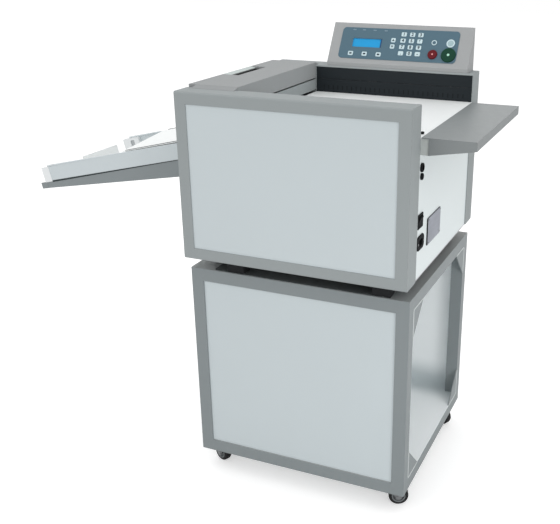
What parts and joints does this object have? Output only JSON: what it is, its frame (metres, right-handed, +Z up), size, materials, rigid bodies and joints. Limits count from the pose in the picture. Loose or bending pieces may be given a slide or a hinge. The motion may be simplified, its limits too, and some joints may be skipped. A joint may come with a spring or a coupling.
{
  "type": "paper creasing machine",
  "caption": "Floor-standing paper creasing machine: wheeled stand, box body with lifting hood, feed table, shelf, console and sloping delivery tray",
  "frame": {"origin": "on the floor, under the middle of the whole object's box", "axes": "+X along the paper path towards the infeed shelf, -X to the delivery tray, -Y to the front panel, +Z up"},
  "size_m": [1.1658, 0.562, 1.115],
  "materials": {
    "frame_grey": "grey paint on steel tube",
    "cover_grey": "grey paint on folded sheet",
    "panel_pale": "pale grey paint on sheet",
    "sheet_white": "white paint on sheet",
    "fence_black": "black paint on sheet",
    "caster_steel": "zinc plated pressed steel",
    "hub_grey": "moulded grey plastic",
    "tyre_black": "black rubber tread",
    "foot_rubber": "black rubber",
    "roller_rubber": "black rubber cover on a steel core",
    "belt_rubber": "black rubber belt",
    "mech_steel": "ground steel",
    "motor_black": "black paint on laminations",
    "keypad_blue": "blue-grey membrane",
    "display_blue": "bright blue backlit window",
    "start_green": "green push button",
    "stop_red": "dark red push button",
    "black_plastic": "black moulded plastic"
  },
  "bodies": {
    "machine_frame": {"stand_posts": "frame_grey", "stand_top_rails": "frame_grey", "stand_bottom_rails": "frame_grey", "stand_gussets": "frame_grey", "stand_front_panel": "panel_pale", "stand_rear_panel": "panel_pale", "stand_decks": "panel_pale", "caster_plates": "caster_steel", "base_plate": "mech_steel", "machine_feet": "foot_rubber", "front_cover": "cover_grey", "front_panel": "panel_pale", "rear_cover": "cover_grey", "rear_panel": "panel_pale", "infeed_end_panel": "sheet_white", "delivery_end_panel": "sheet_white", "feed_table": "sheet_white", "side_fence": "fence_black", "infeed_shelf": "cover_grey", "shelf_bracket": "cover_grey", "hood_hinge_pins": "mech_steel", "entry_bar": "cover_grey", "console_housing": "cover_grey", "keypad": "keypad_blue", "display_window": "display_blue", "switch_frame": "black_plastic", "mains_inlet": "black_plastic", "sensor_sockets": "black_plastic", "delivery_tray": "sheet_white", "tray_apron": "sheet_white", "tray_brackets": "frame_grey", "mech_side_plates": "mech_steel", "crease_anvil": "mech_steel", "feed_motor": "motor_black", "crease_motor": "motor_black", "feed_belt": "belt_rubber"},
    "caster_fl": {"caster_fork_fl": "caster_steel"},
    "wheel_fl": {"caster_hub_fl": "hub_grey", "caster_tyre_fl": "tyre_black"},
    "caster_fr": {"caster_fork_fr": "caster_steel"},
    "wheel_fr": {"caster_hub_fr": "hub_grey", "caster_tyre_fr": "tyre_black"},
    "caster_rl": {"caster_fork_rl": "caster_steel"},
    "wheel_rl": {"caster_hub_rl": "hub_grey", "caster_tyre_rl": "tyre_black"},
    "caster_rr": {"caster_fork_rr": "caster_steel"},
    "wheel_rr": {"caster_hub_rr": "hub_grey", "caster_tyre_rr": "tyre_black"},
    "hood_lid": {"hood": "cover_grey"},
    "start_key": {"start_button": "start_green"},
    "stop_key": {"stop_button": "stop_red"},
    "rocker": {"power_rocker": "black_plastic"},
    "stop_slider": {"paper_stop": "sheet_white"},
    "feed_roller_bottom": {"feed_roller_lower": "roller_rubber"},
    "exit_roller_bottom": {"exit_roller_lower": "roller_rubber"},
    "feed_roller_top": {"feed_roller_upper": "roller_rubber"},
    "exit_roller_top": {"exit_roller_upper": "roller_rubber"},
    "crease_beam": {"crease_yoke": "mech_steel", "crease_blade": "mech_steel"},
    "cams": {"camshaft": "mech_steel"}
  },
  "joints": [
    {"name": "caster_swivel_fl", "type": "hinge", "parent": "machine_frame", "child": "caster_fl", "pos_m": [-0.05114, -0.209, 0.054], "axis": [0, 0, 1], "continuous": true},
    {"name": "wheel_roll_fl", "type": "hinge", "parent": "caster_fl", "child": "wheel_fl", "pos_m": [-0.06771, -0.20197, 0.025], "axis": [0.3907, 0.9205, 0], "continuous": true},
    {"name": "caster_swivel_fr", "type": "hinge", "parent": "machine_frame", "child": "caster_fr", "pos_m": [0.41686, -0.209, 0.054], "axis": [0, 0, 1], "continuous": true},
    {"name": "wheel_roll_fr", "type": "hinge", "parent": "caster_fr", "child": "wheel_fr", "pos_m": [0.43343, -0.20197, 0.025], "axis": [0.3907, -0.9205, 0], "continuous": true},
    {"name": "caster_swivel_rl", "type": "hinge", "parent": "machine_frame", "child": "caster_rl", "pos_m": [-0.05114, 0.209, 0.054], "axis": [0, 0, 1], "continuous": true},
    {"name": "wheel_roll_rl", "type": "hinge", "parent": "caster_rl", "child": "wheel_rl", "pos_m": [-0.06771, 0.20197, 0.025], "axis": [0.3907, -0.9205, 0], "continuous": true},
    {"name": "caster_swivel_rr", "type": "hinge", "parent": "machine_frame", "child": "caster_rr", "pos_m": [0.41686, 0.209, 0.054], "axis": [0, 0, 1], "continuous": true},
    {"name": "wheel_roll_rr", "type": "hinge", "parent": "caster_rr", "child": "wheel_rr", "pos_m": [0.43343, 0.20197, 0.025], "axis": [0.3907, 0.9205, 0], "continuous": true},
    {"name": "hood_hinge", "type": "hinge", "parent": "machine_frame", "child": "hood_lid", "pos_m": [0.02586, 0, 0.979], "axis": [0, 1, 0], "range_deg": [0, 85]},
    {"name": "start_press", "type": "slide", "parent": "machine_frame", "child": "start_key", "axis": [0, 0.8544, -0.5197], "range_m": [0, 0.0015], "stiffness_N_per_m": 800},
    {"name": "stop_press", "type": "slide", "parent": "machine_frame", "child": "stop_key", "axis": [0, 0.8544, -0.5197], "range_m": [0, 0.0015], "stiffness_N_per_m": 800},
    {"name": "power_switch", "type": "hinge", "parent": "machine_frame", "child": "rocker", "pos_m": [0.46086, -0.198, 0.749], "axis": [0, 1, 0], "range_deg": [-16, 0]},
    {"name": "paper_stop_slide", "type": "slide", "parent": "machine_frame", "child": "stop_slider", "axis": [0.9715, 0, 0.2368], "range_m": [0, 0.095]},
    {"name": "feed_roller_bottom_spin", "type": "hinge", "parent": "machine_frame", "child": "feed_roller_bottom", "pos_m": [0.00186, 0, 0.923], "axis": [0, 1, 0], "continuous": true},
    {"name": "exit_roller_bottom_spin", "type": "hinge", "parent": "machine_frame", "child": "exit_roller_bottom", "pos_m": [-0.06814, 0, 0.923], "axis": [0, 1, 0], "continuous": true},
    {"name": "feed_roller_top_spin", "type": "hinge", "parent": "machine_frame", "child": "feed_roller_top", "pos_m": [0.00186, 0, 0.9534], "axis": [0, 1, 0], "continuous": true},
    {"name": "exit_roller_top_spin", "type": "hinge", "parent": "machine_frame", "child": "exit_roller_top", "pos_m": [-0.06814, 0, 0.9534], "axis": [0, 1, 0], "continuous": true},
    {"name": "cam_turn", "type": "hinge", "parent": "machine_frame", "child": "cams", "pos_m": [-0.03314, 0, 0.8], "axis": [0, 1, 0], "range_deg": [0, 150]},
    {"name": "crease_stroke", "type": "slide", "parent": "machine_frame", "child": "crease_beam", "axis": [0, 0, -1], "range_m": [0, 0.009], "stiffness_N_per_m": 3000, "springref_m": -0.012}
  ],
  "couplings": [
    {"joint": "exit_roller_bottom_spin", "follows": "feed_roller_bottom_spin", "ratio": 1},
    {"joint": "feed_roller_top_spin", "follows": "feed_roller_bottom_spin", "ratio": -1},
    {"joint": "exit_roller_top_spin", "follows": "feed_roller_bottom_spin", "ratio": -1},
    {"joint": "cam_turn", "follows": "crease_stroke", "rad_per_m": 290.89}
  ]
}
